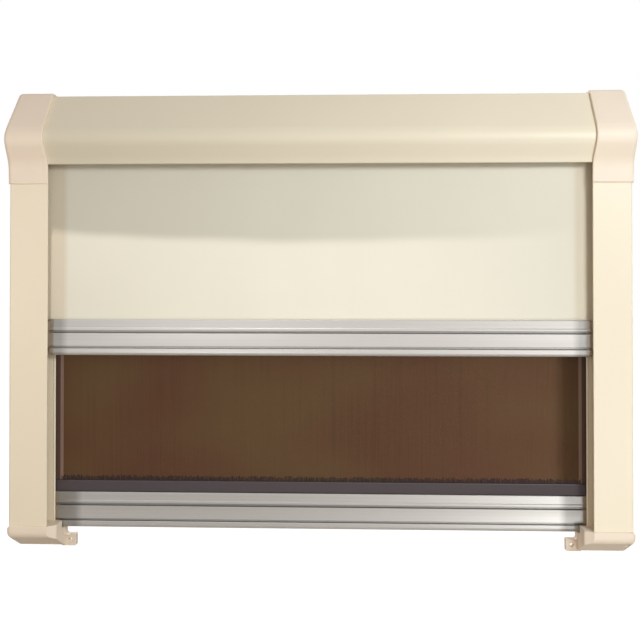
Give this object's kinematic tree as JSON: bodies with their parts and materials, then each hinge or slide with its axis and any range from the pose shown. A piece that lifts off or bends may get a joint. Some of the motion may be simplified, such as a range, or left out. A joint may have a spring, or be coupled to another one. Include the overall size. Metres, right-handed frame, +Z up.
{
  "type": "day and night roller blind",
  "caption": "Cassette roller blind for a small window: night cloth and brown mesh on spring rollers, each with an aluminium bar that slides in its own channel of the side rails.",
  "frame": {"origin": "middle of the cassette's back face, on the wall", "axes": "+X along the cassette to the right as seen from the room, +Y into the wall, +Z up"},
  "size_m": [0.644, 0.0479, 0.4835],
  "materials": {
    "cream_profile": "satin cream, extruded",
    "cream_moulding": "satin cream, moulded",
    "grey_moulding": "plain grey, moulded",
    "tan_moulding": "tan, moulded",
    "bar_aluminium": "anodised, fine lengthwise brushing",
    "dark_strip": "dark grey, extruded",
    "night_cloth": "closed cream weave",
    "screen_mesh": "brown mesh",
    "screw_steel": "zinc plated",
    "spring_steel": "bare spring steel"
  },
  "bodies": {
    "frame": {"cassette_back_profile": "cream_profile", "cassette_front_cover": "cream_profile", "left_end_cap": "cream_moulding", "right_end_cap": "cream_moulding", "left_end_bracket": "grey_moulding", "right_end_bracket": "grey_moulding", "left_side_rail": "cream_profile", "right_side_rail": "cream_profile", "left_foot": "cream_moulding", "right_foot": "cream_moulding", "cassette_screws": "screw_steel", "bracket_screws": "screw_steel", "foot_screws": "screw_steel", "night_spindle": "screw_steel", "screen_spindle": "screw_steel", "night_cloth": "night_cloth", "screen_mesh": "screen_mesh"},
    "night_bar": {"night_bar_profile": "bar_aluminium", "left_night_glider": "tan_moulding", "right_night_glider": "tan_moulding", "night_brake_springs": "spring_steel", "night_cloth_rod": "tan_moulding"},
    "screen_bar": {"screen_bar_profile": "bar_aluminium", "left_screen_glider": "tan_moulding", "right_screen_glider": "tan_moulding", "screen_brake_springs": "spring_steel", "screen_clamp_strip": "dark_strip"},
    "night_roller": {"night_roller_tube": "bar_aluminium", "night_fabric_roll": "night_cloth", "night_spring_plug": "grey_moulding", "night_idle_plug": "grey_moulding", "night_torsion_spring": "spring_steel"},
    "screen_roller": {"screen_roller_tube": "bar_aluminium", "screen_fabric_roll": "screen_mesh", "screen_spring_plug": "grey_moulding", "screen_idle_plug": "grey_moulding", "screen_torsion_spring": "spring_steel"}
  },
  "joints": [
    {"name": "night_bar_slide", "type": "slide", "parent": "frame", "child": "night_bar", "axis": [0, 0, 1], "range_m": [-0.175, 0.158], "deforming": ["night_cloth"]},
    {"name": "screen_bar_slide", "type": "slide", "parent": "frame", "child": "screen_bar", "axis": [0, 0, 1], "range_m": [0, 0.33], "deforming": ["screen_mesh"]},
    {"name": "night_roller_turn", "type": "hinge", "parent": "frame", "child": "night_roller", "pos_m": [0, -0.03263, -0.01275], "axis": [1, 0, 0], "range_deg": [-1105, 1000]},
    {"name": "screen_roller_turn", "type": "hinge", "parent": "frame", "child": "screen_roller", "pos_m": [0, -0.01752, 0.00725], "axis": [1, 0, 0], "range_deg": [0, 2225]}
  ],
  "couplings": [
    {"joint": "night_roller_turn", "follows": "night_bar_slide", "rad_per_m": 109.59},
    {"joint": "screen_roller_turn", "follows": "screen_bar_slide", "rad_per_m": 117.3}
  ]
}
